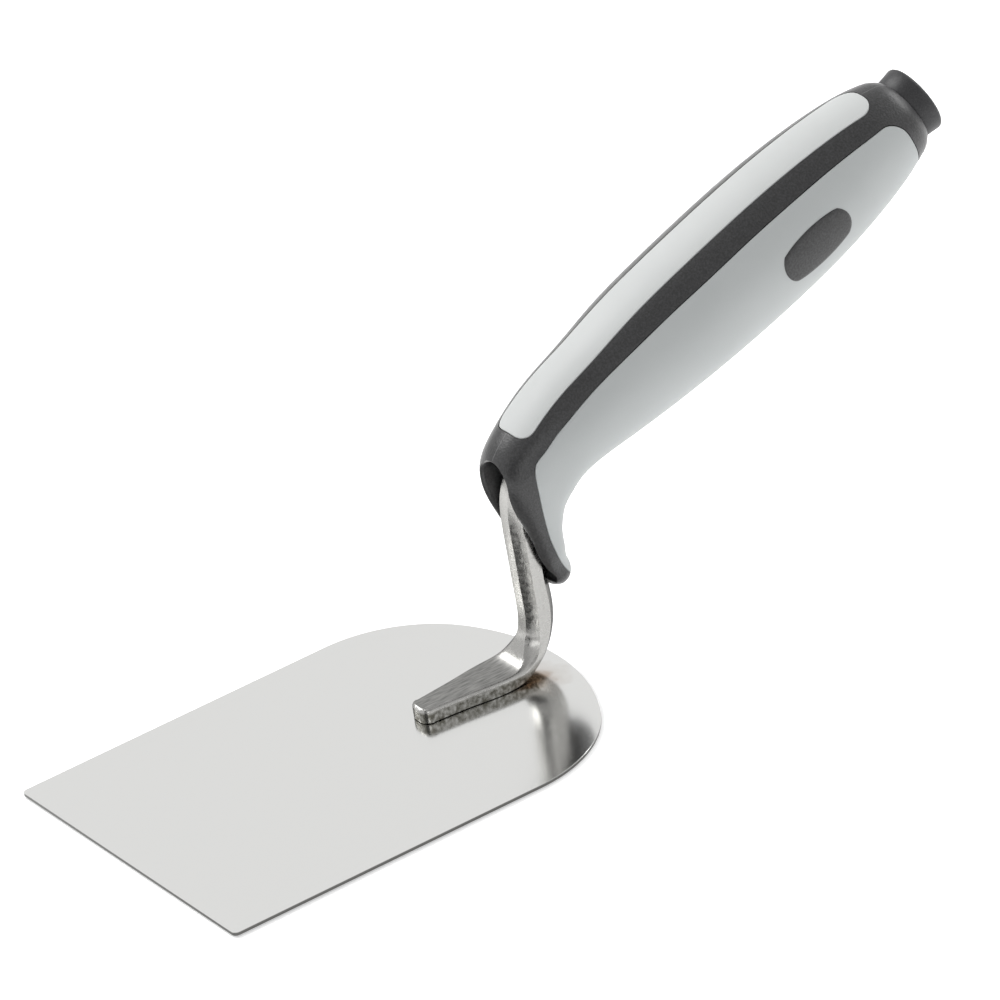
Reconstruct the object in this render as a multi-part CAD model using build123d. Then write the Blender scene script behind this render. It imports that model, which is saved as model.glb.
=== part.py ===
from build123d import *
import math
import os

# Margin trowel, millimetres, +Z up.
# The origin is the centre of the blade's flat underside. X is the width, the blade's straight
# working edge faces -Y, and the handle rises towards +Y. The tool is symmetrical about X = 0.

# Blade: polished stainless sheet with a straight front edge and a rounded heel.
blade_width = 80.0
blade_length = 110.0
blade_thickness = 0.8
front_corner_radius = 1.2
heel_radius = 50.0          # the broad curve across the heel
heel_corner_radius = 30.0   # the tighter curves that join it to the sides

# Shank: one steel forging with a flat foot, a round stem and a tang inside the handle.
weld_gap = 0.15             # gap that the weld nuggets hold between foot and blade
foot_tip_y = 19.0
foot_rear_y = 41.4
foot_tip_half_width = 2.9
foot_rear_half_width = 5.4
foot_nose_radius = 2.3
foot_thickness = 3.2
foot_chamfer = 0.6
stem_radius = 3.75
stem_y = 51.1
neck_bend_radius = 14.0
tang_end_y = 124.0
tang_chamfer = 1.2
weld_radius = 1.6
weld_places = (25.0, 33.0, 41.0)

# The heel turns from the foot into the stem. Each row is a section that fans about a pivot:
# its lean, how far its outer and inner edges lie from the pivot, half width, squareness.
heel_pivot_y = 40.85
heel_pivot_z = 10.65
heel_sections = (
    (0.0, 9.6, 6.6, 5.2, 4.0),
    (22.5, 10.5, 6.5, 5.1, 3.2),
    (45.0, 12.7, 6.5, 4.6, 2.5),
    (67.5, 14.0, 6.5, 4.2, 2.1),
    (90.0, 14.1, 6.4, 3.85, 2.0),
)
stem_overlap = 1.0

# Handle: its axis is a straight line that rises towards the butt.
grip_angle = 20.0
axis_y = 72.8
axis_z = 57.0
height_to_width = 0.94

# Sections of the grip along its axis, up to the rear collar: station, half width, and how
# much deeper than round the belly is.
grip_stations = (
    (0.0, 12.55, 0.4),
    (13.0, 14.2, -0.1),
    (26.0, 15.0, -0.1),
    (39.0, 15.3, 0.0),
    (52.0, 15.25, -0.1),
    (65.0, 14.55, -0.2),
    (75.0, 13.4, -0.4),
    (84.0, 11.6, -0.5),
    (88.0, 10.3, -0.3),
    (91.0, 8.3, 0.0),
)

# The front of the handle fans down about a pivot into the finger guard. Each row is a
# section: its lean, how far its rear and front edges lie from the pivot, half width.
guard_pivot_y = 69.0
guard_pivot_z = 30.0
guard_sections = (
    (130.0, 12.1, 16.8, 3.0),
    (115.0, 10.9, 18.0, 5.6),
    (98.0, 10.4, 18.8, 6.8),
    (80.0, 10.6, 20.6, 7.2),
    (65.0, 10.7, 25.5, 7.8),
    (50.0, 11.2, 31.0, 8.9),
    (35.0, 11.7, 32.4, 10.0),
    (20.0, 12.6, 34.0, 11.0),
)
guard_squareness = 2.3

# Channel in the front of the guard where the stem stands, ending in an arch at the collar.
channel_half_width = 4.3
channel_floor_y = 55.0
channel_top_z = 50.3

# Soft grey skins let into the dark core.
skin_thickness = 2.2
pad_half_width = 5.6
pad_start = -20.7
pad_end = 85.0
pad_root_lift = 3.0
pad_corner_radius = 3.6

# The lower sleeve's upper border along the handle, as places along and above the axis,
# and its front border down the guard, as places in the mid-plane.
sleeve_upper_border = (
    (-21.7, 2.4),
    (-16.6, 4.1),
    (-9.7, 6.5),
    (1.9, 8.1),
    (14.0, 9.6),
    (30.0, 10.2),
    (46.0, 10.5),
    (66.0, 9.7),
    (82.5, 7.4),
)
sleeve_rear_corner = (
    (85.0, 6.2),
    (86.0, 4.0),
)
sleeve_front_border = (
    (51.0, 48.4),
    (51.3, 43.0),
    (53.0, 33.6),
    (55.0, 26.8),
    (59.5, 19.0),
)
sleeve_tip_y = 64.0
sleeve_tip_z = 12.0
below_grip = 40.0           # far enough to clear the underside of the grip

# Plain oval boss of the core that stands through the sleeve on each side.
boss_station = 54.5
boss_lift = 0.5
boss_length = 19.0
boss_width = 9.0
boss_proud = 0.25

# Butt cap with its spigot.
cap_base_radius = 7.5
cap_end_radius = 7.95
cap_start = 91.0
cap_end = 95.8
cap_edge_radius = 0.7
spigot_radius = 4.5
spigot_depth = 12.0

half_blade = blade_width / 2
half_length = blade_length / 2
foot_bottom = blade_thickness + weld_gap
lean_cos = math.cos(math.radians(grip_angle))
lean_sin = math.sin(math.radians(grip_angle))
across_tool = 60.0          # wider than the handle, for cuts right through
half_space = 400.0          # larger than the whole tool
ring_steps = 16             # places round a closed section


def on_axis(station, lift=0.0):
    """Place in the mid-plane, given along the handle's axis and above it."""
    y = axis_y + station * lean_cos - lift * lean_sin
    z = axis_z + station * lean_sin + lift * lean_cos
    return (0, y, z)


def square_to_axis(station):
    """Plane across the handle, facing the butt."""
    return Plane(origin=on_axis(station), x_dir=(1, 0, 0), z_dir=(0, lean_cos, lean_sin))


def section_points(y, z, lean, half_width, half_height, squareness, turns):
    """Points round a section across the mid-plane that leans back by an angle."""
    tilt = math.radians(lean)
    points = []
    for turn in turns:
        across = math.copysign(abs(math.cos(turn)) ** (2 / squareness), math.cos(turn))
        rise = math.copysign(abs(math.sin(turn)) ** (2 / squareness), math.sin(turn))
        lift = half_height * rise
        points.append((half_width * across, y - lift * math.sin(tilt), z + lift * math.cos(tilt)))
    return points


def full_ring(y, z, lean, half_width, half_height, squareness):
    """Closed rounded section."""
    turns = [2 * math.pi * step / ring_steps for step in range(ring_steps)]
    points = section_points(y, z, lean, half_width, half_height, squareness, turns)
    return make_face(Spline(*points, periodic=True))


def half_ring(y, z, lean, half_width, half_height, squareness):
    """The X > 0 half of a rounded section."""
    half_steps = ring_steps // 2
    turns = [math.pi * (step / half_steps - 0.5) for step in range(half_steps + 1)]
    points = section_points(y, z, lean, half_width, half_height, squareness, turns)
    points[0] = (0, points[0][1], points[0][2])
    points[-1] = (0, points[-1][1], points[-1][2])
    skirt = Spline(*points, tangents=[(1, 0, 0), (-1, 0, 0)])
    return make_face(Wire([skirt, Line(points[-1], points[0])]))


def fan_ring(kind, pivot_y, pivot_z, lean, near, far, half_width, squareness):
    """Section whose two edges lie at given distances from a pivot in the mid-plane."""
    tilt = math.radians(lean)
    reach = (near + far) / 2
    y = pivot_y - reach * math.sin(tilt)
    z = pivot_z + reach * math.cos(tilt)
    return kind(y, z, lean, half_width, abs(far - near) / 2, squareness)


def axis_ring(station, half_width, half_height, belly):
    """Half section square to the handle's axis."""
    _, y, z = on_axis(station, -belly / 2)
    return half_ring(y, z, grip_angle, half_width, half_height + belly / 2, 2.0)


def whole(half):
    """A symmetrical piece from its X > 0 half."""
    return half + mirror(half, about=Plane.YZ)


def grip_half(inset):
    """Half of the handle's outer shape, guard tip to rear collar, drawn in by an inset."""
    rings = []
    for lean, rear, front, half_width in guard_sections:
        rings.append(fan_ring(half_ring, guard_pivot_y, guard_pivot_z, lean, rear + inset,
                              front - inset, half_width - inset, guard_squareness))
    for station, half_width, belly in grip_stations:
        half_height = half_width * height_to_width - inset
        rings.append(axis_ring(station, half_width - inset, half_height, belly))
    return loft(rings)


def make_blade():
    """Flat sheet: straight working edge, parallel sides, and a heel of three arcs."""
    heel_centre_y = half_length - heel_radius
    reach = heel_radius - heel_corner_radius
    side = half_blade - heel_corner_radius
    corner_centre_y = heel_centre_y + math.sqrt(reach ** 2 - side ** 2)
    join_x = side * heel_radius / reach
    join_y = heel_centre_y + (corner_centre_y - heel_centre_y) * heel_radius / reach
    swing = math.atan2(join_y - corner_centre_y, join_x - side) / 2
    bulge_x = side + heel_corner_radius * math.cos(swing)
    bulge_y = corner_centre_y + heel_corner_radius * math.sin(swing)
    outline = [
        Line((-half_blade, -half_length), (half_blade, -half_length)),
        Line((half_blade, -half_length), (half_blade, corner_centre_y)),
        ThreePointArc((half_blade, corner_centre_y), (bulge_x, bulge_y), (join_x, join_y)),
        ThreePointArc((join_x, join_y), (0, half_length), (-join_x, join_y)),
        ThreePointArc((-join_x, join_y), (-bulge_x, bulge_y), (-half_blade, corner_centre_y)),
        Line((-half_blade, corner_centre_y), (-half_blade, -half_length)),
    ]
    sheet = extrude(make_face(Wire(outline)), amount=blade_thickness)
    front_corners = sheet.edges().filter_by(Axis.Z).group_by(Axis.Y)[0]
    return fillet(front_corners, radius=front_corner_radius)


def make_weld_nuggets():
    """Three resistance-weld nuggets that hold the foot on the blade."""
    nuggets = []
    for place in weld_places:
        nugget = extrude(Pos(0, place, blade_thickness) * Circle(weld_radius), amount=weld_gap)
        nuggets.append(nugget)
    return Compound(children=nuggets)


def foot_half():
    """Half of the tapered flat foot, with a round nose and bevelled top edges."""
    outline = Polyline(
        (0, foot_tip_y),
        (foot_tip_half_width, foot_tip_y),
        (foot_rear_half_width, foot_rear_y),
        (0, foot_rear_y),
        close=True,
    )
    bar = extrude(make_face(outline), amount=foot_thickness)
    nose = bar.edges().filter_by(Axis.Z).filter_by_position(Axis.X, 1.0, foot_tip_half_width)
    bar = fillet(nose, radius=foot_nose_radius)
    rim = bar.faces().sort_by(Axis.Z)[-1].edges()
    bevelled = [edge for edge in rim
                if edge.center().Y < foot_rear_y - 0.1 and edge.center().X > 0.1]
    bar = chamfer(bevelled, length=foot_chamfer)
    return Pos(0, 0, foot_bottom) * bar


def make_heel():
    """Blend from the flat foot, round the bend, into the round stem."""
    rings = []
    for lean, outer, inner, half_width, squareness in heel_sections:
        rings.append(fan_ring(full_ring, heel_pivot_y, heel_pivot_z, lean, -outer, -inner,
                              half_width, squareness))
    return loft(rings)


def make_stem():
    """Round bar: up the stem, round the neck, and along the handle's axis as the tang."""
    slope = math.tan(math.radians(grip_angle))
    corner_z = axis_z - (axis_y - stem_y) * slope
    end_z = corner_z + (tang_end_y - stem_y) * slope
    foot = (0, stem_y, heel_pivot_z - stem_overlap)
    route = FilletPolyline(foot, (0, stem_y, corner_z), (0, tang_end_y, end_z),
                           radius=neck_bend_radius)
    bar = sweep(Plane(foot) * Circle(stem_radius), path=route)
    tang_end = bar.faces().sort_by(Axis.Y)[-1].edges()
    return chamfer(tang_end, length=tang_chamfer)


def make_shank():
    return whole(foot_half()) + make_heel() + make_stem()


def make_channel():
    """Room in front of the guard for the stem, with a round arch at its top."""
    front = Plane(origin=(0, 0, 0), x_dir=(1, 0, 0), z_dir=(0, 1, 0))
    arch_centre_z = channel_top_z - channel_half_width
    bottom = Box(2 * channel_half_width, channel_floor_y, arch_centre_z,
                 align=(Align.CENTER, Align.MIN, Align.MIN))
    arch = extrude(front.location * Pos(0, -arch_centre_z) * Circle(channel_half_width),
                   amount=channel_floor_y)
    return bottom + arch


def make_pad_region():
    """Round-cornered strip along the crown of the handle."""
    length = pad_end - pad_start
    middle = on_axis((pad_start + pad_end) / 2, pad_root_lift)
    crown = Plane(origin=middle, x_dir=(0, lean_cos, lean_sin), z_dir=(0, -lean_sin, lean_cos))
    strip = crown * RectangleRounded(length, 2 * pad_half_width, pad_corner_radius)
    return extrude(strip, amount=below_grip)


def make_sleeve_region():
    """Side profile of the lower sleeve, right through the handle."""
    upper = [on_axis(station, lift) for station, lift in sleeve_upper_border]
    front = [(0, y, z) for y, z in sleeve_front_border]
    corner_bulge, corner_end = [on_axis(station, lift) for station, lift in sleeve_rear_corner]
    rear_low = on_axis(sleeve_rear_corner[-1][0], -below_grip)
    tip = (0, sleeve_tip_y, sleeve_tip_z)
    border = [
        Spline(*upper),
        ThreePointArc(upper[-1], corner_bulge, corner_end),
        Line(corner_end, rear_low),
        Line(rear_low, tip),
        Line(tip, front[-1]),
        Spline(*front[::-1], upper[0]),
    ]
    profile = make_face(Wire(border))
    return extrude(profile, amount=across_tool / 2, dir=(1, 0, 0), both=True)


def oval(length, width):
    """Stadium shape along the handle's axis, right through both sides."""
    side = Plane(origin=on_axis(boss_station, boss_lift), x_dir=(0, lean_cos, lean_sin),
                 z_dir=(1, 0, 0))
    return extrude(side * SlotOverall(length, width), amount=across_tool / 2, both=True)


def make_butt_cap():
    """Flared round cap with a spigot into the core."""
    base = square_to_axis(cap_start) * Circle(cap_base_radius)
    end = square_to_axis(cap_end) * Circle(cap_end_radius)
    head = loft([base, end])
    rim = head.edges().sort_by(Axis.Y)[-1]
    head = fillet(rim, radius=cap_edge_radius)
    return head + make_spigot()


def make_spigot():
    return extrude(square_to_axis(cap_start) * Circle(spigot_radius), amount=-spigot_depth)


outside = grip_half(0.0)
inside = grip_half(skin_thickness)
channel = make_channel()
shank = make_shank()
right_side = Box(across_tool, half_space, half_space, align=(Align.MIN, Align.CENTER, Align.CENTER))
spigot = make_spigot()
skin = outside - inside
top_pad_half = skin & make_pad_region()
lower_skin = (skin & make_sleeve_region()) - channel - top_pad_half
boss_window = oval(boss_length, boss_width)
sleeve_half = lower_skin - boss_window
boss = (grip_half(-boss_proud) & boss_window) - inside
core_half = outside - top_pad_half - lower_skin - channel - (shank & right_side) - spigot + boss

nodes = {
    "blade": make_blade(),
    "weld_nuggets": make_weld_nuggets(),
    "shank": shank,
    "handle_core": whole(core_half),
    "top_grip_pad": whole(top_pad_half),
    "lower_grip_sleeve": whole(sleeve_half),
    "butt_cap": make_butt_cap(),
}

os.makedirs("parts", exist_ok=True)
for name, shape in nodes.items():
    export_step(shape, os.path.join("parts", name + ".step"))
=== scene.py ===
import bmesh
import bpy
import math
import numpy as np
from mathutils import Matrix, Vector
from mathutils.bvhtree import BVHTree


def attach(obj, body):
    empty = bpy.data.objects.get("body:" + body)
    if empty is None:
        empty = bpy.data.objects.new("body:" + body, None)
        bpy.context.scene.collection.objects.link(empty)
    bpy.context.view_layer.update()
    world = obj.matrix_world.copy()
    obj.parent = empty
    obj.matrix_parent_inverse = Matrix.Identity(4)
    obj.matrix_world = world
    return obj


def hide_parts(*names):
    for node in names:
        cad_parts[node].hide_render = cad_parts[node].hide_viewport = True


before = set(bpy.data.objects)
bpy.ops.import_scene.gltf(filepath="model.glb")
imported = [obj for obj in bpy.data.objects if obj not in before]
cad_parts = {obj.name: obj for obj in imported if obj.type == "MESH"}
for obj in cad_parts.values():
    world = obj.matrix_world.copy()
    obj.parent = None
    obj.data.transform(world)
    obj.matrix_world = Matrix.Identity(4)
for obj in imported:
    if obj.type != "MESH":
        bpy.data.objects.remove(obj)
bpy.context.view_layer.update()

# ---------------------------------------------------------------- camera
# A long lens, high and to the right of the tool, with a slight roll, so that the blade lies
# low on the left and the handle rises to the upper right.
def add_object(name, data):
    """An object at the origin, linked into the scene."""
    added = bpy.data.objects.new(name, data)
    bpy.context.scene.collection.objects.link(added)
    return added


camera_data = bpy.data.cameras.new("camera")
camera_data.sensor_width = 36
camera_data.lens = 432
camera_data.clip_end = 20
camera = add_object("camera", camera_data)
camera_right = Vector((0.57267, 0.80929, -0.13076))
camera_up = Vector((-0.34493, 0.38257, 0.85712))
camera_back = Vector((0.74369, -0.44575, 0.49824))
camera_turn = Matrix((camera_right, camera_up, camera_back)).transposed().to_4x4()
camera.matrix_world = Matrix.Translation((1.85834, -1.06703, 1.28742)) @ camera_turn
bpy.context.scene.camera = camera

# ---------------------------------------------------------------- floor and light
# A plain pale floor and a bright, even studio: a white surround, one broad lamp over the
# tool's left, one behind it, and dark cards that give the steel something to reflect.
def new_material(name):
    """A material, its nodes and links, and its main shader."""
    material = bpy.data.materials.new(name)
    material.use_nodes = True
    tree = material.node_tree
    return material, tree.nodes, tree.links, tree.nodes["Principled BSDF"]


floor_mesh = bpy.data.meshes.new("floor")
floor_mesh.from_pydata([(-6, -6, -.0004), (6, -6, -.0004), (6, 6, -.0004), (-6, 6, -.0004)],
                       [], [(0, 1, 2, 3)])
floor = add_object("floor", floor_mesh)
floor_paint, nodes, links, floor_shader = new_material("floor_paint")
floor_shader.inputs["Base Color"].default_value = (.93, .93, .93, 1)
floor_shader.inputs["Roughness"].default_value = .9
floor_shader.inputs["Specular IOR Level"].default_value = .1
floor_shader.inputs["Emission Color"].default_value = (1, 1, 1, 1)
floor_shader.inputs["Emission Strength"].default_value = .42
floor_mesh.materials.append(floor_paint)

studio = bpy.data.worlds.new("studio")
bpy.context.scene.world = studio
studio.use_nodes = True
surround = studio.node_tree.nodes["Background"]
sky_place = studio.node_tree.nodes.new("ShaderNodeTexCoord")
sky_height = studio.node_tree.nodes.new("ShaderNodeSeparateXYZ")
sky_shade = studio.node_tree.nodes.new("ShaderNodeValToRGB")
studio.node_tree.links.new(sky_place.outputs["Generated"], sky_height.inputs[0])
studio.node_tree.links.new(sky_height.outputs["Z"], sky_shade.inputs[0])
studio.node_tree.links.new(sky_shade.outputs[0], surround.inputs["Color"])
sky_shade.color_ramp.elements[0].position = .55
sky_shade.color_ramp.elements[0].color = (.97, .97, .97, 1)
sky_shade.color_ramp.elements[1].position = .9
sky_shade.color_ramp.elements[1].color = (.55, .55, .55, 1)
surround.inputs["Strength"].default_value = .86
bpy.context.scene.view_settings.view_transform = "Standard"

for name, place, aim, width, height, power in (
        ("lamp_left", (-.9, -.3, 1.1), (0, .05, .05), .8, .8, 11),
        ("lamp_back", (-.2, 1.3, .9), (0, .05, .06), 1.0, .6, 5),
        ("lamp_front", (.9, -1.1, .7), (0, .05, .06), .7, .7, 2)):
    lamp_data = bpy.data.lights.new(name, "AREA")
    lamp_data.shape = "RECTANGLE"
    lamp_data.size = width
    lamp_data.size_y = height
    lamp_data.energy = power
    lamp = add_object(name, lamp_data)
    lamp.location = place
    lamp.rotation_euler = (Vector(aim) - Vector(place)).to_track_quat("-Z", "Y").to_euler()

card_paint, nodes, links, card_shader = new_material("card_paint")
card_shader.inputs["Base Color"].default_value = (.01, .01, .01, 1)
card_shader.inputs["Roughness"].default_value = 1.0
for name, turn, far, low, high, half_width in (("card_front", -66, .55, .06, .60, .17),
                                               ("card_side", 8, .75, .03, .45, .06)):
    out = Vector((math.cos(math.radians(turn)), math.sin(math.radians(turn)), 0))
    beside = Vector((-out.y, out.x, 0)) * half_width
    corners = [out * far + beside * side + Vector((0, 0, height))
               for side, height in ((-1, low), (1, low), (1, high), (-1, high))]
    card_mesh = bpy.data.meshes.new(name)
    card_mesh.from_pydata(corners, [], [(0, 1, 2, 3)])
    card_mesh.materials.append(card_paint)
    card = add_object(name, card_mesh)


# ---------------------------------------------------------------- shared surface effects
# Fine moulded grain: the spark-eroded texture that a mould leaves on plastic and rubber.
# It gives a height for a bump, and a mask that lightens the tops of the grain.
grain = bpy.data.node_groups.new("mould_grain", "ShaderNodeTree")
for name, value in (("Size", 2600.0), ("Patch Size", 90.0)):
    grain.interface.new_socket(name, in_out="INPUT", socket_type="NodeSocketFloat").default_value = value
grain.interface.new_socket("Height", in_out="OUTPUT", socket_type="NodeSocketFloat")
grain.interface.new_socket("Patches", in_out="OUTPUT", socket_type="NodeSocketFloat")
grain_in = grain.nodes.new("NodeGroupInput")
grain_out = grain.nodes.new("NodeGroupOutput")
grain_place = grain.nodes.new("ShaderNodeTexCoord")
grain_fine = grain.nodes.new("ShaderNodeTexNoise")
grain_fine.inputs["Detail"].default_value = 2.0
grain_patch = grain.nodes.new("ShaderNodeTexNoise")
grain_patch.inputs["Detail"].default_value = 4.0
for texture, size in ((grain_fine, "Size"), (grain_patch, "Patch Size")):
    grain.links.new(grain_place.outputs["Object"], texture.inputs["Vector"])
    grain.links.new(grain_in.outputs[size], texture.inputs["Scale"])
grain.links.new(grain_fine.outputs["Fac"], grain_out.inputs["Height"])
grain.links.new(grain_patch.outputs["Fac"], grain_out.inputs["Patches"])

# Brush lines: long fine scratches along one direction of the metal, as a belt leaves them.
brush = bpy.data.node_groups.new("brush_lines", "ShaderNodeTree")
brush.interface.new_socket("Stretch", in_out="INPUT", socket_type="NodeSocketVector")
brush.interface.new_socket("Lines", in_out="OUTPUT", socket_type="NodeSocketFloat")
brush_in = brush.nodes.new("NodeGroupInput")
brush_out = brush.nodes.new("NodeGroupOutput")
brush_place = brush.nodes.new("ShaderNodeTexCoord")
brush_scale = brush.nodes.new("ShaderNodeVectorMath")
brush_scale.operation = "MULTIPLY"
brush_noise = brush.nodes.new("ShaderNodeTexNoise")
brush_noise.inputs["Scale"].default_value = 1.0
brush_noise.inputs["Detail"].default_value = 3.0
brush.links.new(brush_place.outputs["Object"], brush_scale.inputs[0])
brush.links.new(brush_in.outputs["Stretch"], brush_scale.inputs[1])
brush.links.new(brush_scale.outputs[0], brush_noise.inputs["Vector"])
brush.links.new(brush_noise.outputs["Fac"], brush_out.inputs["Lines"])


# ---------------------------------------------------------------- blade
# One flat stainless sheet, 80 by 110 by 0.8 mm, blanked with a straight working edge and a
# round heel and polished on both faces. The cut edge is painted dark, for its duller steel and a painted
# contact shadow along it.
def tube_faces(levels, count):
    """The walls and both ends of a tube made of rings with the same count of places."""
    faces = [tuple(range(count)), tuple(reversed(range((levels - 1) * count, levels * count)))]
    for level in range(levels - 1):
        for index in range(count):
            beside = (index + 1) % count
            faces.append((level * count + index, (level + 1) * count + index,
                          (level + 1) * count + beside, level * count + beside))
    return faces


blade_outline = []
for centre_x, centre_y, radius, start, stop, steps in (
        (38.8, -53.8, 1.2, -90, 0, 6),
        (10.0, 22.3205, 30.0, 0, 60, 32),
        (0.0, 5.0, 50.0, 60, 120, 56),
        (-10.0, 22.3205, 30.0, 120, 180, 32),
        (-38.8, -53.8, 1.2, 180, 270, 6)):
    for step in range(steps + 1):
        turn = math.radians(start + (stop - start) * step / steps)
        place = (centre_x + radius * math.cos(turn), centre_y + radius * math.sin(turn))
        if not blade_outline or math.dist(place, blade_outline[-1]) > .01:
            blade_outline.append(place)
blade_points = []
for inset, height in ((.06, 0.0), (0.0, .06), (0.0, .74), (.06, .8)):
    for index, (x, y) in enumerate(blade_outline):
        before = blade_outline[index - 1]
        after = blade_outline[(index + 1) % len(blade_outline)]
        along = Vector((after[0] - before[0], after[1] - before[1])).normalized()
        blade_points.append(((x - along.y * inset) / 1000, (y + along.x * inset) / 1000, height / 1000))
blade_faces = [face[::-1] for face in tube_faces(4, len(blade_outline))]
blade_mesh = bpy.data.meshes.new("blade_sheet")
blade_mesh.from_pydata(blade_points, [], blade_faces)
blade_sheet = add_object("blade_sheet", blade_mesh)

def linked(links, value, socket):
    """Gives a socket a number, a colour of three numbers, or another socket's value."""
    if isinstance(value, tuple):
        socket.default_value = (*value, 1)
    elif isinstance(value, (int, float)):
        socket.default_value = value
    else:
        links.new(value, socket)


def worked_out(nodes, links, operation, *values):
    """The result of one sum."""
    node = nodes.new("ShaderNodeMath")
    node.operation = operation
    for value, socket in zip(values, node.inputs):
        linked(links, value, socket)
    return node.outputs[0]


def ranged(nodes, links, value, start, stop, low=0.0, high=1.0):
    """A value carried from one range to another, and held at its ends."""
    node = nodes.new("ShaderNodeMapRange")
    for number, name in ((start, "From Min"), (stop, "From Max"), (low, "To Min"), (high, "To Max")):
        node.inputs[name].default_value = number
    links.new(value, node.inputs["Value"])
    return node.outputs[0]


def two_tone(nodes, links, value, low, low_colour, high, high_colour):
    """A colour that runs from one tone to another as a value rises."""
    ramp = nodes.new("ShaderNodeValToRGB")
    low_stop, high_stop = ramp.color_ramp.elements
    low_stop.position, low_stop.color = low, (*low_colour, 1)
    high_stop.position, high_stop.color = high, (*high_colour, 1)
    links.new(value, ramp.inputs["Fac"])
    return ramp.outputs[0]


def mixed(nodes, links, share, first, second):
    """The first colour, with a share of the second laid over it."""
    node = nodes.new("ShaderNodeMix")
    node.data_type = "RGBA"
    links.new(share, node.inputs[0])
    linked(links, first, node.inputs[6])
    linked(links, second, node.inputs[7])
    return node.outputs[2]


def add_bump(nodes, links, shader, height, strength, distance=.0001):
    """Fine relief on a shader."""
    bump = nodes.new("ShaderNodeBump")
    bump.inputs["Strength"].default_value = strength
    bump.inputs["Distance"].default_value = distance
    links.new(height, bump.inputs["Height"])
    links.new(bump.outputs[0], shader.inputs["Normal"])


polished, nodes, links, shader = new_material("polished_stainless")
shader.inputs["Metallic"].default_value = 1.0
place = nodes.new("ShaderNodeTexCoord")
lines = nodes.new("ShaderNodeGroup")
lines.node_tree = brush
lines.inputs["Stretch"].default_value = (9000, 260, 260)
links.new(ranged(nodes, links, lines.outputs["Lines"], 0, 1, .11, .18), shader.inputs["Roughness"])
add_bump(nodes, links, shader, lines.outputs["Lines"], .03)
heel_weld = (.0045, .0455, .0008)
tint_distance = nodes.new("ShaderNodeVectorMath")
tint_distance.operation = "DISTANCE"
tint_distance.inputs[1].default_value = heel_weld
links.new(place.outputs["Object"], tint_distance.inputs[0])
tint_ragged = nodes.new("ShaderNodeTexNoise")
tint_ragged.inputs["Scale"].default_value = 260
tint_ragged.inputs["Detail"].default_value = 4
links.new(place.outputs["Object"], tint_ragged.inputs["Vector"])
tint_edge = worked_out(nodes, links, "MULTIPLY_ADD", tint_ragged.outputs["Fac"], .006,
                       tint_distance.outputs["Value"])
tint = two_tone(nodes, links, tint_edge, .0042, (.36, .24, .15), .0088, (.855, .855, .84))
facing = nodes.new("ShaderNodeSeparateXYZ")
links.new(place.outputs["Normal"], facing.inputs[0])
# Painted shadow: the faces that do not face up, the blade's cut edge, are painted dark, for the edge's duller
# steel and a contact shadow along it.
cut_edge_painted_shadow = worked_out(nodes, links, "LESS_THAN", facing.outputs["Z"], .5)
links.new(mixed(nodes, links, cut_edge_painted_shadow, tint, (.12, .12, .115)), shader.inputs["Base Color"])
blade_mesh.materials.append(polished)
blade_mesh.shade_smooth()
blade_mesh.set_sharp_from_angle(angle=math.radians(30))
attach(blade_sheet, "root")
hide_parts("blade")


# ---------------------------------------------------------------- weld nuggets
# Three small spot welds hold the foot 0.15 mm off the blade. The steel beside them is dull
# and dark from the heat. Only their edges show, in the gap under the foot.
weld_steel, nodes, links, shader = new_material("weld_steel")
shader.inputs["Metallic"].default_value = 1.0
shader.inputs["Roughness"].default_value = .55
place = nodes.new("ShaderNodeTexCoord")
scale_noise = nodes.new("ShaderNodeTexNoise")
scale_noise.inputs["Scale"].default_value = 1500
links.new(place.outputs["Object"], scale_noise.inputs["Vector"])
scale_shade = two_tone(nodes, links, scale_noise.outputs["Fac"], 0, (.10, .085, .075), 1, (.42, .38, .34))
links.new(scale_shade, shader.inputs["Base Color"])
weld_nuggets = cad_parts["weld_nuggets"]
weld_nuggets.data.materials.clear()
weld_nuggets.data.materials.append(weld_steel)


# ---------------------------------------------------------------- shank
# One steel forging: a tapered flat foot with bevelled top edges, a heel that turns up into a
# eight-sided stem, a bent neck, and a tang inside the handle. Tumbled, then brushed on the foot.
def smooth_rows(rows, at):
    """Values that pass smoothly through rows of (position, value, value ...)."""
    table = np.array(rows, float)
    position, values = table[:, 0], table[:, 1:]
    gap = np.diff(position)
    rise = np.diff(values, axis=0) / gap[:, None]
    balance = np.eye(len(position))
    target = np.zeros_like(values)
    target[0], target[-1] = rise[0], rise[-1]
    for knot in range(1, len(position) - 1):
        balance[knot, knot - 1:knot + 2] = (gap[knot], 2 * (gap[knot - 1] + gap[knot]), gap[knot - 1])
        target[knot] = 3 * (gap[knot] * rise[knot - 1] + gap[knot - 1] * rise[knot])
    slopes = np.linalg.solve(balance, target)
    at = np.asarray(at, float)
    low = np.clip(np.searchsorted(position, at, side="right") - 1, 0, len(position) - 2)
    span = position[low + 1] - position[low]
    part = ((at - position[low]) / span)[:, None]
    span = span[:, None]
    return ((2 * part ** 3 - 3 * part ** 2 + 1) * values[low]
            + (part ** 3 - 2 * part ** 2 + part) * span * slopes[low]
            + (3 * part ** 2 - 2 * part ** 3) * values[low + 1]
            + (part ** 3 - part ** 2) * span * slopes[low + 1])


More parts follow.
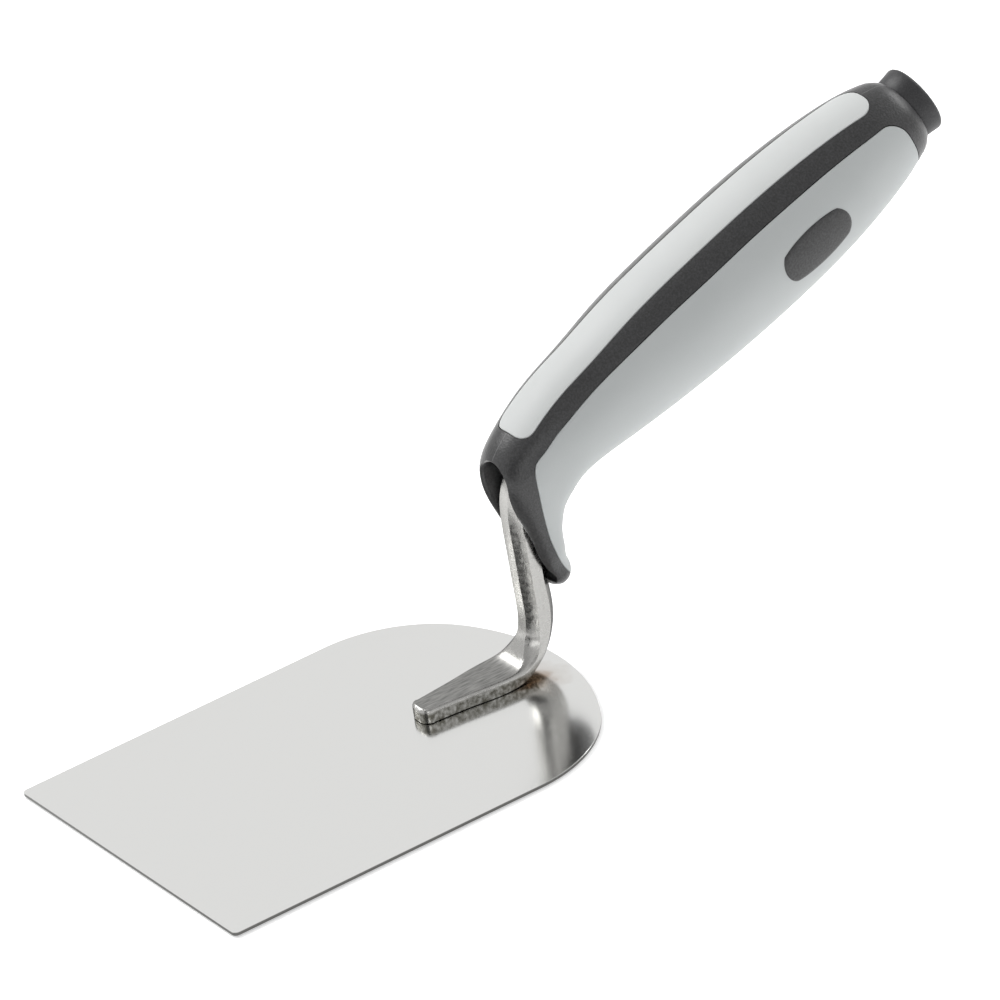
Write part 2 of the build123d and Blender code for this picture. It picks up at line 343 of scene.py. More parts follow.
# Each row: distance along the bar, centre y and z, lean of the section from upright,
# half width, half height, and how far the flat bar has become the eight-sided stem.
shank_rows = (
    (0.0, 21.4, 2.55, 0, 3.10, 1.60, 0.0),
    (10.0, 31.4, 2.55, 0, 4.23, 1.60, 0.0),
    (18.0, 39.0, 2.55, 0, 5.15, 1.60, 0.0),
    (21.5, 42.7, 2.78, 10, 5.25, 1.70, .12),
    (25.0, 45.7, 3.85, 30, 5.05, 2.25, .45),
    (28.0, 48.2, 5.70, 52, 4.65, 2.95, .8),
    (31.0, 50.0, 8.10, 72, 3.95, 3.40, 1.0),
    (34.0, 51.0, 11.2, 88, 3.60, 3.60, 1.0),
    (42.0, 51.1, 20.0, 91, 3.54, 3.54, 1.0),
    (52.0, 50.85, 29.0, 91, 3.54, 3.54, 1.0),
    (59.0, 50.65, 36.0, 90, 3.54, 3.54, 1.0),
    (65.0, 51.2, 42.0, 76, 3.54, 3.54, 1.0),
    (71.0, 54.0, 46.6, 50, 3.54, 3.54, 1.0),
    (77.0, 59.3, 50.8, 30, 3.54, 3.54, 1.0),
    (84.0, 66.0, 54.2, 22, 3.54, 3.54, 1.0),
    (92.0, 73.5, 57.2, 20, 3.54, 3.54, 1.0),
    (146.0, 123.6, 75.5, 20, 3.54, 3.54, 1.0),
)
nose_rows = []
for step in range(9):
    back = 2.3 * (1 - math.cos(math.pi / 2 * step / 8))
    half_width = .80 + math.sqrt(max(0, 2.3 ** 2 - (2.3 - back) ** 2)) + .115 * back
    nose_rows.append((19.0 + back, half_width, min(.6, max(0.0, back))))
shank_at = np.concatenate([np.arange(0, 18, 1.0), np.arange(18, 84, .6), np.arange(84, 146.1, 3)])
shank_sections = [tuple(row) for row in smooth_rows(shank_rows, shank_at)]
octagon_bevel = 2 - math.sqrt(2)
stem_softness = .28


def bar_section(centre_y, centre_z, lean, half_width, half_height, eight_sided, bevel=.75, drop=0.0):
    """Ring of places: a flat bar with rolled top edges that turns into an eight-sided one."""
    top = half_height - drop
    full_bevel = octagon_bevel * half_width
    upper = bevel + (full_bevel - bevel) * eight_sided
    lower = .15 + (full_bevel - .15) * eight_sided
    corners = [(half_width - upper, top), (-half_width + upper, top),
               (-half_width, top - upper), (-half_width, -half_height + lower),
               (-half_width + lower, -half_height), (half_width - lower, -half_height),
               (half_width, -half_height + lower), (half_width, top - upper)]
    counts = (8, 4, 6, 4, 8, 4, 6, 4)
    ring = []
    tilt = math.radians(lean)
    for index in range(8):
        here, there = corners[index], corners[(index + 1) % 8]
        for step in range(counts[index]):
            part = step / counts[index]
            across = here[0] + (there[0] - here[0]) * part
            rise = here[1] + (there[1] - here[1]) * part
            if index in (1, 7):
                swell = .205 * upper * math.sin(math.pi * part) * (1 - eight_sided)
                across += math.copysign(swell, across)
                rise += swell
            turn = math.radians(67.5 + 45 * (index + part))
            softness = stem_softness * eight_sided
            across += (half_width * math.cos(turn) - across) * softness
            rise += (half_height * math.sin(turn) - rise) * softness
            ring.append((across / 1000, (centre_y - rise * math.sin(tilt)) / 1000,
                         (centre_z + rise * math.cos(tilt)) / 1000))
    return ring


shank_rings = []
for nose_y, half_width, lift in nose_rows[:-1]:
    shank_rings.append(bar_section(nose_y, 2.55, 0, half_width, 1.6, 0.0,
                                   bevel=min(.75, half_width * .6), drop=.6 - lift))
for row in shank_sections:
    shank_rings.append(bar_section(*row))
shank_faces = tube_faces(len(shank_rings), len(shank_rings[0]))
shank_mesh = bpy.data.meshes.new("shank_bar")
shank_mesh.from_pydata([place for ring in shank_rings for place in ring], [], shank_faces)
shank_bar = add_object("shank_bar", shank_mesh)


def mend(mesh, merge_distance=0.0):
    """Merges places closer than a distance, and turns every face outwards."""
    repair = bmesh.new()
    repair.from_mesh(mesh)
    if merge_distance:
        bmesh.ops.remove_doubles(repair, verts=repair.verts, dist=merge_distance)
    bmesh.ops.recalc_face_normals(repair, faces=repair.faces)
    repair.to_mesh(mesh)
    repair.free()


mend(shank_mesh)

forged, nodes, links, shader = new_material("forged_steel")
shader.inputs["Metallic"].default_value = 1.0
shader.inputs["Specular Tint"].default_value = (.35, .35, .35, 1)
place = nodes.new("ShaderNodeTexCoord")
split = nodes.new("ShaderNodeSeparateXYZ")
links.new(place.outputs["Object"], split.inputs[0])
facing = nodes.new("ShaderNodeSeparateXYZ")
links.new(place.outputs["Normal"], facing.inputs[0])
lines = nodes.new("ShaderNodeGroup")
lines.node_tree = brush
lines.inputs["Stretch"].default_value = (2600, 300, 700)
blotch = nodes.new("ShaderNodeTexNoise")
blotch.inputs["Scale"].default_value = 1000
blotch.inputs["Detail"].default_value = 5
links.new(place.outputs["Object"], blotch.inputs["Vector"])
upward = ranged(nodes, links, facing.outputs["Z"], .93, .99)
rough_top = nodes.new("ShaderNodeMix")
rough_top.inputs["B"].default_value = .46
links.new(upward, rough_top.inputs["Factor"])
links.new(ranged(nodes, links, blotch.outputs["Fac"], .35, .7, .20, .34), rough_top.inputs["A"])
links.new(rough_top.outputs["Result"], shader.inputs["Roughness"])
# Painted shade and dark reflection: the lower sides of the foot, beside the blade, are painted dark in
# blotches.
foot_side_shade_mask = worked_out(nodes, links, "MULTIPLY", ranged(nodes, links, split.outputs["Z"], .0036, .0030),
                       worked_out(nodes, links, "LESS_THAN", facing.outputs["Z"], .35))
painted_foot_shade = worked_out(nodes, links, "MULTIPLY", foot_side_shade_mask,
                    ranged(nodes, links, blotch.outputs["Fac"], .30, .62))
shade = mixed(nodes, links, painted_foot_shade, (.46, .455, .44), (.15, .145, .125))
foot_face = worked_out(nodes, links, "MULTIPLY", upward,
                       ranged(nodes, links, split.outputs["Y"], .046, .041))
brushed = two_tone(nodes, links, lines.outputs["Lines"], .3, (.20, .20, .195), .75, (.44, .435, .42))
shade = mixed(nodes, links, foot_face, shade, brushed)
# Painted shade: faces seen edge-on are painted darker, standing in for dark reflections at grazing angles.
edge_on = nodes.new("ShaderNodeLayerWeight")
edge_on.inputs["Blend"].default_value = .5
painted_grazing_shade = ranged(nodes, links, edge_on.outputs["Facing"], .62, .92)
links.new(mixed(nodes, links, painted_grazing_shade, shade, (.10, .10, .098)), shader.inputs["Base Color"])
height_sum = worked_out(nodes, links, "ADD", lines.outputs["Lines"], blotch.outputs["Fac"])
add_bump(nodes, links, shader, height_sum, .25)
shank_mesh.materials.append(forged)
shank_mesh.shade_smooth()
shank_mesh.set_sharp_from_angle(angle=math.radians(28))
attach(shank_bar, "root")
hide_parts("shank")


# ---------------------------------------------------------------- handle core
# Dark hard plastic moulding: the collar with its arch over the stem, the finger guard, the
# side bands and the rear collar. The grey skins lie in shallow pockets in it.
# Each row: the section's crown y and z, its belly y and z, its half width and its squareness.
guard_pivot = (69.0, 30.0)
grip_start = np.array((72.8, 57.0))
grip_length = 91.0
grip_lean = math.radians(20)
guard_rows = []
for lean, rear, front, half_width, squareness in (
        (137.0, 13.6, 16.4, 2.0, 2.1), (132.0, 12.2, 17.4, 4.1, 2.2), (117.0, 10.9, 18.1, 5.7, 2.3),
        (98.0, 10.4, 18.7, 6.8, 2.5), (80.0, 10.6, 20.4, 7.2, 2.6), (65.0, 10.7, 25.2, 7.8, 2.5),
        (50.0, 11.2, 30.9, 8.9, 2.35), (35.0, 11.7, 32.4, 10.0, 2.2), (20.0, 12.6, 34.0, 11.0, 2.08)):
    tilt = math.radians(lean)
    guard_row = ()
    for reach in (front, rear):
        guard_row += (guard_pivot[0] - reach * math.sin(tilt), guard_pivot[1] + reach * math.cos(tilt))
    guard_rows.append(guard_row + (half_width, squareness))
grip_rows = []
axis_along = np.array((math.cos(grip_lean), math.sin(grip_lean)))
axis_above = np.array((-axis_along[1], axis_along[0]))
for station, half_width, belly in (
        (0.0, 12.55, .4), (13.0, 14.2, -.1), (26.0, 15.0, -.1), (39.0, 15.3, 0), (52.0, 15.25, -.1),
        (65.0, 14.55, -.2), (75.0, 13.4, -.4), (84.0, 11.6, -.5), (88.0, 10.3, -.3), (89.6, 9.5, -.1),
        (grip_length, 8.3, 0)):
    centre = grip_start + station * axis_along
    crown = centre + half_width * .94 * axis_above
    under = centre - (half_width * .94 + belly) * axis_above
    grip_rows.append((*crown, *under, half_width, 2.0))
handle_rows = []
handle_length = 0.0
for row in guard_rows + grip_rows:
    middle = ((row[0] + row[2]) / 2, (row[1] + row[3]) / 2)
    if handle_rows:
        handle_length += math.dist(middle, last_middle)
    last_middle = middle
    handle_rows.append((handle_length,) + row)
station_zero = handle_rows[len(guard_rows)][0]


def handle_place(section, turn, sunk=0.0):
    """Place on a section of the handle: turn runs from -90 at the belly to 90 at the crown."""
    centre, upward, half_height, half_width, power = section
    across = math.copysign(abs(math.cos(turn)) ** power, math.cos(turn)) * (half_width - sunk)
    rise = math.copysign(abs(math.sin(turn)) ** power, math.sin(turn)) * (half_height - sunk)
    y, z = centre + rise * upward
    return (across / 1000, y / 1000, z / 1000)


# The border between dark core and lower sleeve, as places in the side view: down the guard's
# rear edge, along the guard, then along the grip and round the corner at the rear collar.
border_rows = [(60.4, 20.4), (58.5, 21.4), (56.4, 24.2), (54.9, 27.2), (53.0, 33.4), (52.2, 37.6),
               (51.4, 42.4), (51.0, 45.9), (50.9, 48.6)]
for station, lift in ((-21.6, 2.6), (-19.0, 3.6), (-16.6, 4.5), (-14.2, 5.35), (-11.0, 6.15),
                      (-7.7, 6.85), (-3.8, 7.5), (1.9, 8.2), (9.9, 9.1),
                      (18.0, 9.8), (30.0, 10.2), (46.0, 10.5), (58.0, 10.2), (66.0, 9.7), (74.0, 8.8),
                      (82.0, 7.5), (90.0, 6.0)):
    border_rows.append(tuple(grip_start + station * axis_along + lift * axis_above))
border_lengths = [0.0]
for here, there in zip(border_rows, border_rows[1:]):
    border_lengths.append(border_lengths[-1] + math.dist(here, there))
border_line = smooth_rows([(length,) + place for length, place in zip(border_lengths, border_rows)],
                          np.linspace(0, border_lengths[-1], 900))


def sleeve_turn(section, at, inset=0.0):
    """How far up a section the lower sleeve reaches."""
    centre, upward, half_height, half_width, power = section
    offset = border_line - centre
    ahead = offset @ np.array((upward[1], -upward[0]))
    nearest = int(np.argmin(np.abs(ahead) + 1e-3 * np.abs(offset @ upward)))
    rise = float(offset[nearest] @ upward)
    from_end = (sleeve_stop - inset) - at
    if from_end < sleeve_corner:
        rise -= sleeve_corner - math.sqrt(max(0.0, sleeve_corner ** 2 - (sleeve_corner - from_end) ** 2))
    rise -= inset
    share = max(-.999, min(.93, rise / half_height))
    return math.asin(math.copysign(abs(share) ** (1 / power), share))


def pad_turn(section, at, inset=0.0):
    """How far round a section the crown pad, or the plain crown beyond it, begins."""
    half_width, power = section[3:]
    corner_length = 2.2 if at < station_zero else 4.2
    corner_width = 3.2 if at < station_zero else 4.5
    from_end = max(0.0, min(at - (pad_start + inset), (pad_stop - inset) - at))
    short = max(0.0, 1 - from_end / corner_length)
    reach = 5.65 - inset - (corner_width - inset) * (1 - math.sqrt(1 - short ** 2))
    return math.acos(min(.93, reach / half_width) ** (1 / power))


pad_start = station_zero - 18.5
pad_stop = station_zero + 85.0
sleeve_start = handle_rows[1][0] - 1.2
sleeve_stop = station_zero + 86.0
sleeve_corner = 4.0
pocket = 1.4
groove = .09

belly_steps, band_steps, crown_steps = 30, 14, 9


def handle_sections(places):
    """Centre, upward way, half height, half width and corner power of each section."""
    found = []
    for crown_y, crown_z, belly_y, belly_z, half_width, squareness in smooth_rows(handle_rows, places):
        crown, under = np.array((crown_y, crown_z)), np.array((belly_y, belly_z))
        half_height = np.linalg.norm(crown - under) / 2
        found.append(((crown + under) / 2, (crown - under) / (2 * half_height), half_height,
                      half_width, 2 / squareness))
    return found


core_places = np.unique(np.round(np.concatenate([
    np.arange(0, handle_length, .8), [handle_length, sleeve_start, sleeve_stop, pad_start, pad_stop],
    pad_start + np.array([.15, .4, .8, 1.3, 2.0, 2.9]), pad_stop - np.array([.15, .4, .8, 1.3, 2.0, 2.9]),
    sleeve_stop - np.array([.1, .3, .6, 1.0, 1.6, 2.3, 3.1])]), 4))
core_levels = []
for at in core_places:
    in_pad = pad_start <= at <= pad_stop
    in_sleeve = sleeve_start <= at <= sleeve_stop
    states = [(in_sleeve, in_pad)]
    if abs(at - sleeve_start) < 1e-3 or abs(at - pad_start) < 1e-3:
        states = [(in_sleeve and abs(at - sleeve_start) > 1e-3, in_pad and abs(at - pad_start) > 1e-3),
                  (in_sleeve, in_pad)]
    if abs(at - sleeve_stop) < 1e-3 or abs(at - pad_stop) < 1e-3:
        states = [(in_sleeve, in_pad),
                  (in_sleeve and abs(at - sleeve_stop) > 1e-3, in_pad and abs(at - pad_stop) > 1e-3)]
    core_levels += [(at, *state) for state in states]
sections = handle_sections([level[0] for level in core_levels])
core_points = []
for (at, sleeve_here, pad_here), section in zip(core_levels, sections):
    low, high = sleeve_turn(section, min(at, sleeve_stop)), pad_turn(section, at)
    high = max(high, low + .03)
    half = []
    for step in range(belly_steps + 1):
        half.append((-math.pi / 2 + (low + math.pi / 2) * step / belly_steps, pocket if sleeve_here else 0))
    for step in range(band_steps + 1):
        part = step / band_steps
        half.append((low + (high - low) * part, 0))
    for step in range(crown_steps + 1):
        half.append((high + (math.pi / 2 - high) * step / crown_steps, pocket if pad_here else 0))
    ring = [handle_place(section, turn, sunk) for turn, sunk in half]
    ring += [(-x, y, z) for x, y, z in reversed(ring[1:-1])]
    core_points.append(ring)
core_faces = tube_faces(len(core_points), len(core_points[0]))
core_mesh = bpy.data.meshes.new("core_moulding")
core_mesh.from_pydata([place for ring in core_points for place in ring], [], core_faces)
core_moulding = add_object("core_moulding", core_mesh)
repair = bmesh.new()
repair.from_mesh(core_mesh)
bmesh.ops.remove_doubles(repair, verts=repair.verts, dist=2e-6)
bmesh.ops.recalc_face_normals(repair, faces=repair.faces)
repair.to_mesh(core_mesh)

# The arch over the stem and the channel down the guard: a cutter that follows the guard's
# front surface, flared where it meets it, so that the rims are rounded.
skin = BVHTree.FromBMesh(repair)
repair.free()
arch_reach, arch_height = 4.45, 46.8
channel_back = 55.0
channel_heights = np.arange(14.0, arch_height, .8)
channel_outline = [(-arch_reach, z) for z in channel_heights]
channel_outline += [(-arch_reach * math.cos(turn), arch_height + arch_reach * math.sin(turn))
                    for turn in np.linspace(0, math.pi, 29)]
channel_outline += [(arch_reach, z) for z in channel_heights[::-1]]
cutter_points = []
flare = ((.0, None), (.0, 1.15), (.03, .85), (.12, .55), (.30, .28), (.60, .10), (1.00, .0),
         (1.5, -.05), (4.0, -1.5))
outwards = [Vector((math.copysign(1, x), 0)) if z < arch_height
            else Vector((x, z - arch_height)).normalized() for x, z in channel_outline]
fronts = []
for (x, z), outward in zip(channel_outline, outwards):
    probe = Vector(((x + outward.x * .5) / 1000, .0, (z + outward.y * .5) / 1000))
    found = skin.ray_cast(probe, Vector((0, 1, 0)))[0]
    fronts.append(found.y * 1000 if found is not None else None)
lowest_front = next(front for front in fronts if front is not None)
fronts = [front if front is not None else lowest_front for front in fronts]
for offset, ahead in flare:
    for (x, z), outward, front in zip(channel_outline, outwards, fronts):
        y = channel_back if ahead is None else min(front + ahead, channel_back - .1)
        cutter_points.append(((x + outward.x * offset) / 1000, y / 1000, (z + outward.y * offset) / 1000))
cutter_faces = tube_faces(len(flare), len(channel_outline))
cutter_mesh = bpy.data.meshes.new("channel_cutter")
cutter_mesh.from_pydata(cutter_points, [], cutter_faces)
cutter = add_object("channel_cutter", cutter_mesh)
repair = bmesh.new()
repair.from_mesh(cutter_mesh)
bmesh.ops.triangulate(repair, faces=repair.faces)
bmesh.ops.recalc_face_normals(repair, faces=repair.faces)
repair.to_mesh(cutter_mesh)
repair.free()
cut = core_moulding.modifiers.new("channel", "BOOLEAN")
cut.operation = "DIFFERENCE"
cut.solver = "EXACT"
cut.object = cutter
bpy.context.view_layer.update()
finished = bpy.data.meshes.new_from_object(core_moulding.evaluated_get(bpy.context.evaluated_depsgraph_get()))
core_moulding.modifiers.remove(cut)
core_moulding.data = finished
bpy.data.objects.remove(cutter)
core_mesh = finished
core_mesh.name = "core_moulding"


def mould_texture(nodes, size, patch_size):
    """The moulded grain at a size of its own."""
    texture = nodes.new("ShaderNodeGroup")
    texture.node_tree = grain
    texture.inputs["Size"].default_value = size
    texture.inputs["Patch Size"].default_value = patch_size
    return texture


# A pale hairline down the middle of the moulding is where the two halves of the mould met; its pale tone is a
# painted highlight along that line.
dark, nodes, links, shader = new_material("dark_plastic")
texture = mould_texture(nodes, 2400, 150)
shade = two_tone(nodes, links, texture.outputs["Height"], .35, (.017, .017, .0175), .72, (.042, .042, .0435))
place = nodes.new("ShaderNodeTexCoord")
off_middle = nodes.new("ShaderNodeSeparateXYZ")
links.new(place.outputs["Object"], off_middle.inputs[0])
# Painted highlight: the parting line down the middle is painted pale.
parting = worked_out(nodes, links, "COMPARE", off_middle.outputs["X"], 0.0, .00009)
links.new(mixed(nodes, links, parting, shade, (.11, .11, .112)), shader.inputs["Base Color"])
shader.inputs["Specular IOR Level"].default_value = .62
links.new(ranged(nodes, links, texture.outputs["Patches"], 0, 1, .27, .38), shader.inputs["Roughness"])
add_bump(nodes, links, shader, texture.outputs["Height"], .5, .00012)
core_mesh.materials.clear()
core_mesh.materials.append(dark)
core_mesh.shade_smooth()
core_mesh.set_sharp_from_angle(angle=math.radians(38))
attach(core_moulding, "root")
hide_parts("handle_core")


# ---------------------------------------------------------------- top grip pad
# A strip of light grey soft rubber moulded into the crown of the core, flush with it, with
# round ends and a fine parting groove all round.
def moulded_skin(name, patch, profile):
    """Closed shell: a curved patch, its rolled rim, its wall, and its hidden underside."""
    points, faces = [], []
    layers = [patch(inset, sunk) for inset, sunk in profile]
    rows, columns = len(layers[0]), len(layers[0][0])

    def border():
        around = [(0, column) for column in range(columns)]
        around += [(row, columns - 1) for row in range(1, rows)]
        around += [(rows - 1, column) for column in range(columns - 2, -1, -1)]
        around += [(row, 0) for row in range(rows - 2, 0, -1)]
        return around

    def add_grid(layer, flip):
        start = len(points)
        points.extend(place for row in layer for place in row)
        for row in range(rows - 1):
            for column in range(columns - 1):
                corner = start + row * columns + column
                face = (corner, corner + 1, corner + columns + 1, corner + columns)
                faces.append(face[::-1] if flip else face)
        return [start + row * columns + column for row, column in border()]

    loops = [add_grid(layers[0], False)]
    for layer in layers[1:-1]:
        start = len(points)
        points.extend(layer[row][column] for row, column in border())
        loops.append(list(range(start, len(points))))
    loops.append(add_grid(layers[-1], True))
    for upper, lower in zip(loops, loops[1:]):
        for index in range(len(upper)):
            beside = (index + 1) % len(upper)
            faces.append((upper[index], upper[beside], lower[beside], lower[index]))
    mesh = bpy.data.meshes.new(name)
    mesh.from_pydata(points, [], faces)
    mend(mesh, 1e-6)
    mesh.shade_smooth()
    mesh.set_sharp_from_angle(angle=math.radians(45))
    return add_object(name, mesh)


def pad_patch(inset, sunk):
    first, last = pad_start + inset, pad_stop - inset
    ease = np.concatenate([[0, .15, .4, .8, 1.3, 2.0, 2.9], np.linspace(4.0, last - first - 4.0, 90),
                           last - first - np.array([2.9, 2.0, 1.3, .8, .4, .15, 0])])
    places = first + ease
    rows = []
    for at, section in zip(places, handle_sections(places)):
        edge = pad_turn(section, at, inset)
        row = [handle_place(section, edge + (math.pi / 2 - edge) * step / 9, sunk) for step in range(10)]
        rows.append(row + [(-x, y, z) for x, y, z in reversed(row[:-1])])
    return rows


def sleeve_patch(inset, sunk):
    first, last = sleeve_start + inset, sleeve_stop - inset
    ease = np.concatenate([np.linspace(0, last - first - 4.4, 150),
                           last - first - np.array([3.7, 3.1, 2.3, 1.6, 1.0, .6, .3, .1, 0])])
    places = first + ease
    rows = []
    for at, section in zip(places, handle_sections(places)):
        edge = sleeve_turn(section, at, inset)
        row = [handle_place(section, edge - (edge + math.pi / 2) * step / 30, sunk) for step in range(31)]
        rows.append(row + [(-x, y, z) for x, y, z in reversed(row[:-1])])
    return rows


skin_profile = [(groove + .30, .0), (groove + .16, .02), (groove + .05, .09), (groove, .22), (groove, 1.25)]
top_pad = moulded_skin("top_pad", pad_patch, skin_profile)


def soft_rubber(name, colour, patch_colour):
    """Matt grey rubber with a fine grain and faint broad patches."""
    material, nodes, links, shader = new_material(name)
    texture = mould_texture(nodes, 3200, 60)
    shade = two_tone(nodes, links, texture.outputs["Patches"], .3, patch_colour, .7, colour)
    links.new(shade, shader.inputs["Base Color"])
    shader.inputs["Roughness"].default_value = .52
    shader.inputs["Subsurface Weight"].default_value = .06
    shader.inputs["Subsurface Radius"].default_value = (.002, .002, .002)
    add_bump(nodes, links, shader, texture.outputs["Height"], .16, .00008)
    return material


top_pad.data.materials.append(soft_rubber("soft_grey_top", (.60, .615, .61), (.575, .59, .585)))
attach(top_pad, "root")
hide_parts("top_grip_pad")

# ---------------------------------------------------------------- lower grip sleeve
# The same soft rubber, a shade darker, moulded round the sides and belly of the grip and the
# back of the finger guard.
lower_sleeve = moulded_skin("lower_sleeve", sleeve_patch, skin_profile)
sleeve_rubber = soft_rubber("soft_grey_sleeve", (.455, .475, .475), (.435, .455, .455))
lower_sleeve.data.materials.append(sleeve_rubber)
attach(lower_sleeve, "root")
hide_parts("lower_grip_sleeve")

# ---------------------------------------------------------------- side bosses
# A plain oval of the dark core stands 0.25 mm through the sleeve on each side of the grip,
# moulded in one with the core, with a rounded rim.
boss_points, boss_faces = [], []
boss_rings = ((.0, .25), (.30, .25), (.60, .25), (.85, .25), (.94, .24), (.98, .17), (1.0, .04),
              (1.0, -1.2))
boss_steps = 72
for side in (1, -1):
    start = len(boss_points)
    for share, proud in boss_rings:
        for step in range(boss_steps):
            turn = 2 * math.pi * step / boss_steps
            along = share * (5.0 * math.copysign(1, math.cos(turn)) * min(1, abs(math.cos(turn)) * 1.6)
                             + 4.5 * math.cos(turn))
            lift = share * 4.5 * math.sin(turn)
            centre, upward, half_height, half_width, power = handle_sections([station_zero + 54.5 + along])[0]
            rise = .5 + lift - float((centre - grip_start) @ axis_above)
            x, y, z = handle_place((centre, upward, half_height, half_width, power),
                                   math.asin(rise / half_height), -proud)
            boss_points.append((side * x, y, z))
    for ring in range(len(boss_rings) - 1):
        for step in range(boss_steps):
            beside = (step + 1) % boss_steps
            corner = start + ring * boss_steps
            face = (corner + step, corner + beside, corner + boss_steps + beside, corner + boss_steps + step)
            boss_faces.append(face)
    inner_ring = start + (len(boss_rings) - 1) * boss_steps
    boss_faces.append(tuple(range(inner_ring, inner_ring + boss_steps)))
boss_mesh = bpy.data.meshes.new("side_bosses")
boss_mesh.from_pydata(boss_points, [], boss_faces)
mend(boss_mesh, 2e-6)
boss_mesh.shade_smooth()
boss_mesh.set_sharp_from_angle(angle=math.radians(50))
boss_mesh.materials.append(dark)
side_bosses = add_object("side_bosses", boss_mesh)
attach(side_bosses, "root")

# ---------------------------------------------------------------- butt cap
# A round plug of near-black plastic pressed into the rear collar. It flares slightly to its
# end, which has a rounded edge, a shallow dished face and the small pit of the mould's gate.
cap_tree = bpy.data.node_groups.new("turned_cap", "GeometryNodeTree")
cap_inputs = {}
for name, value in (("Start Radius", .0075), ("End Radius", .00795), ("Head Length", .0048),
                    ("Edge Radius", .0009), ("Spigot Radius", .0045), ("Spigot Depth", .012)):
    socket = cap_tree.interface.new_socket(name, in_out="INPUT", socket_type="NodeSocketFloat")
    socket.default_value = value
    cap_inputs[name] = socket.identifier
paint_socket = cap_tree.interface.new_socket("Material", in_out="INPUT", socket_type="NodeSocketMaterial")
cap_tree.interface.new_socket("Geometry", in_out="OUTPUT", socket_type="NodeSocketGeometry")
cap_in = cap_tree.nodes.new("NodeGroupInput")
cap_out = cap_tree.nodes.new("NodeGroupOutput")


def cap_node(kind, operation, first, second=None, third=None):
    node = cap_tree.nodes.new(kind)
    node.operation = operation
    for index, value in enumerate((first, second, third)):
        if value is None:
            continue
        if isinstance(value, (int, float, tuple)):
            node.inputs[index].default_value = value
        else:
            cap_tree.links.new(value, node.inputs[index])
    return node.outputs[0]


def cap_size(shares):
    """A length made of shares of the tree's named inputs."""
    total = 0.0
    for name, share in shares:
        total = cap_node("ShaderNodeMath", "MULTIPLY_ADD", cap_in.outputs[name], share, total)
    return total


cap_turns, cap_rows = 97, []
for radius, height in (
        ((("Spigot Radius", 0.0),), (("Spigot Depth", -1.0),)),
        ((("Spigot Radius", .93),), (("Spigot Depth", -1.0),)),
        ((("Spigot Radius", 1.0),), (("Spigot Depth", -.96),)),
        ((("Spigot Radius", 1.0),), (("Spigot Depth", -.01),)),
        ((("Start Radius", .99),), (("Head Length", 0.0),)),
        ((("Start Radius", 1.0),), (("Head Length", .02),)),
        ((("Start Radius", .5), ("End Radius", .5)), (("Head Length", .45),)),
        ((("End Radius", 1.0),), (("Head Length", 1.0), ("Edge Radius", -1.0))),
        ((("End Radius", 1.0), ("Edge Radius", -.13)), (("Head Length", 1.0), ("Edge Radius", -.5))),
        ((("End Radius", 1.0), ("Edge Radius", -.5)), (("Head Length", 1.0), ("Edge Radius", -.13))),
        ((("End Radius", 1.0), ("Edge Radius", -1.0)), (("Head Length", 1.0),)),
        ((("End Radius", 1.0), ("Edge Radius", -1.5)), (("Head Length", 1.0), ("Edge Radius", -.1))),
        ((("End Radius", 1.0), ("Edge Radius", -2.0)), (("Head Length", 1.0), ("Edge Radius", -.4))),
        ((("Edge Radius", 1.3),), (("Head Length", 1.0), ("Edge Radius", -.4))),
        ((("Edge Radius", 1.1),), (("Head Length", 1.0), ("Edge Radius", -1.2))),
        ((("Edge Radius", 0.0),), (("Head Length", 1.0), ("Edge Radius", -1.2)))):
    cap_rows.append((cap_size(radius), cap_size(height)))
cap_grid = cap_tree.nodes.new("GeometryNodeMeshGrid")
cap_grid.inputs["Vertices X"].default_value = len(cap_rows)
cap_grid.inputs["Vertices Y"].default_value = cap_turns
cap_index = cap_tree.nodes.new("GeometryNodeInputIndex").outputs[0]
cap_row = cap_node("ShaderNodeMath", "DIVIDE", cap_index, float(cap_turns))
cap_row = cap_node("ShaderNodeMath", "FLOOR", cap_row)
cap_step = cap_node("ShaderNodeMath", "MODULO", cap_index, float(cap_turns))
cap_turn = cap_node("ShaderNodeMath", "MULTIPLY", cap_step, 2 * math.pi / (cap_turns - 1))
cap_choices = []
for part in range(2):
    choice = cap_tree.nodes.new("GeometryNodeIndexSwitch")
    choice.data_type = "FLOAT"
    while len(choice.index_switch_items) < len(cap_rows):
        choice.index_switch_items.new()
    cap_tree.links.new(cap_row, choice.inputs["Index"])
    for index, row in enumerate(cap_rows):
        cap_tree.links.new(row[part], choice.inputs[index + 1])
    cap_choices.append(choice.outputs[0])
cap_across = cap_tree.nodes.new("ShaderNodeVectorMath")
cap_across.operation = "SCALE"
cap_across.inputs[0].default_value = (1, 0, 0)
cap_rise = cap_tree.nodes.new("ShaderNodeVectorMath")
cap_rise.operation = "SCALE"
cap_rise.inputs[0].default_value = (0, *axis_above)
cap_along = cap_tree.nodes.new("ShaderNodeVectorMath")
cap_along.operation = "SCALE"
cap_along.inputs[0].default_value = (0, *axis_along)
for node, swing in ((cap_across, "COSINE"), (cap_rise, "SINE")):
    reach = cap_node("ShaderNodeMath", swing, cap_turn)
    reach = cap_node("ShaderNodeMath", "MULTIPLY", reach, cap_choices[0])
    cap_tree.links.new(reach, node.inputs["Scale"])
cap_tree.links.new(cap_choices[1], cap_along.inputs["Scale"])
cap_sum = cap_node("ShaderNodeVectorMath", "ADD", cap_across.outputs[0], cap_rise.outputs[0])
cap_sum = cap_node("ShaderNodeVectorMath", "ADD", cap_sum, cap_along.outputs[0])
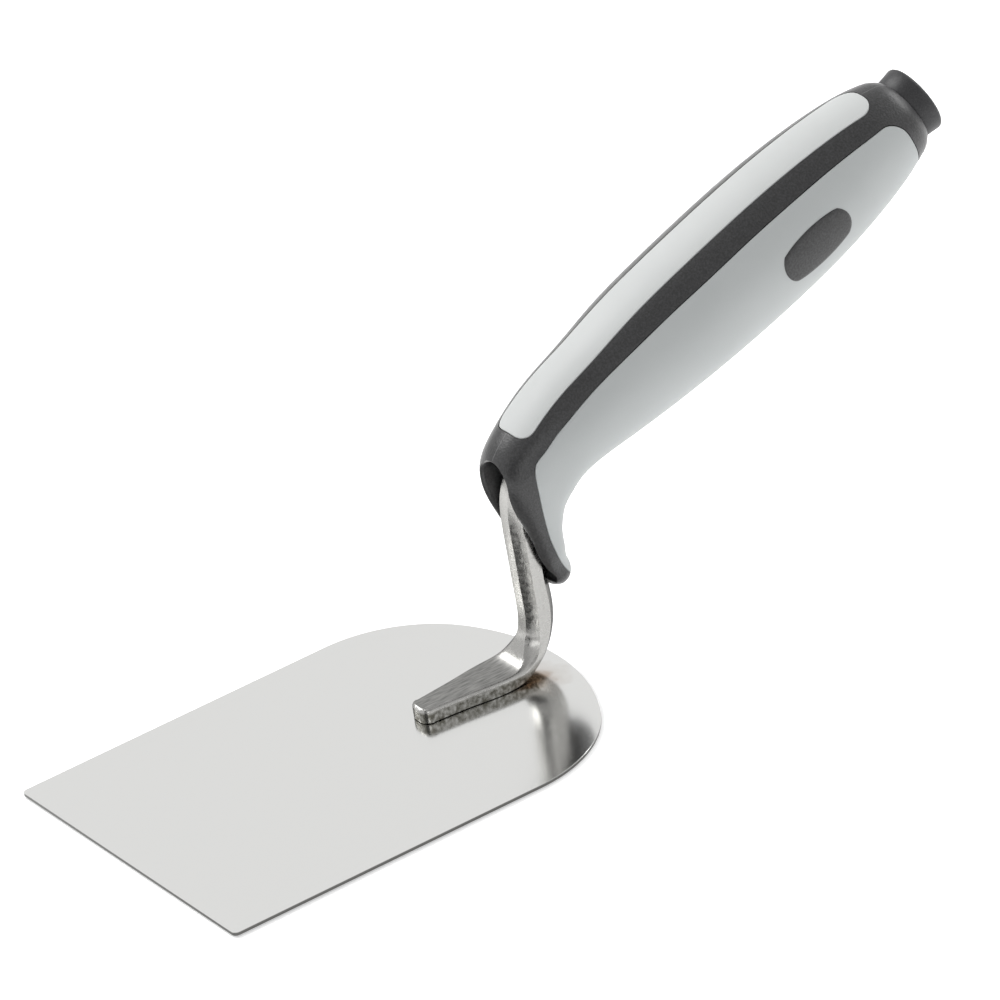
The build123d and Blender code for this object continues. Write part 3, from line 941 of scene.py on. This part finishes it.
cap_seat = tuple((grip_start + grip_length * axis_along) / 1000)
cap_sum = cap_node("ShaderNodeVectorMath", "ADD", cap_sum, (0.0, *cap_seat))
cap_move = cap_tree.nodes.new("GeometryNodeSetPosition")
cap_merge = cap_tree.nodes.new("GeometryNodeMergeByDistance")
cap_merge.inputs["Distance"].default_value = .000002
cap_real = cap_tree.nodes.new("GeometryNodeRealizeInstances")
cap_paint = cap_tree.nodes.new("GeometryNodeSetMaterial")
cap_tree.links.new(cap_grid.outputs["Mesh"], cap_move.inputs["Geometry"])
cap_tree.links.new(cap_sum, cap_move.inputs["Position"])
cap_tree.links.new(cap_move.outputs[0], cap_merge.inputs["Geometry"])
cap_tree.links.new(cap_merge.outputs[0], cap_real.inputs["Geometry"])
cap_tree.links.new(cap_real.outputs[0], cap_paint.inputs["Geometry"])
cap_tree.links.new(cap_in.outputs["Material"], cap_paint.inputs["Material"])
cap_tree.links.new(cap_paint.outputs[0], cap_out.inputs["Geometry"])

cap_plastic, nodes, links, shader = new_material("cap_plastic")
texture = mould_texture(nodes, 3000, 200)
shade = two_tone(nodes, links, texture.outputs["Height"], .35, (.016, .016, .018), .75, (.034, .034, .036))
links.new(shade, shader.inputs["Base Color"])
shader.inputs["Roughness"].default_value = .45
add_bump(nodes, links, shader, texture.outputs["Height"], .3)

cap_host_mesh = bpy.data.meshes.new("end_cap")
end_cap = add_object("end_cap", cap_host_mesh)
turned = end_cap.modifiers.new("turned_cap", "NODES")
turned.node_group = cap_tree
turned[cap_inputs["Edge Radius"]] = .0009
turned[paint_socket.identifier] = cap_plastic
bpy.context.view_layer.update()
cap_mesh = bpy.data.meshes.new_from_object(end_cap.evaluated_get(bpy.context.evaluated_depsgraph_get()))
end_cap.modifiers.remove(turned)
end_cap.data = cap_mesh
cap_mesh.name = "end_cap"
mend(cap_mesh, 2e-6)
cap_mesh.shade_smooth()
cap_mesh.set_sharp_from_angle(angle=math.radians(35))
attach(end_cap, "root")
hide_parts("butt_cap")
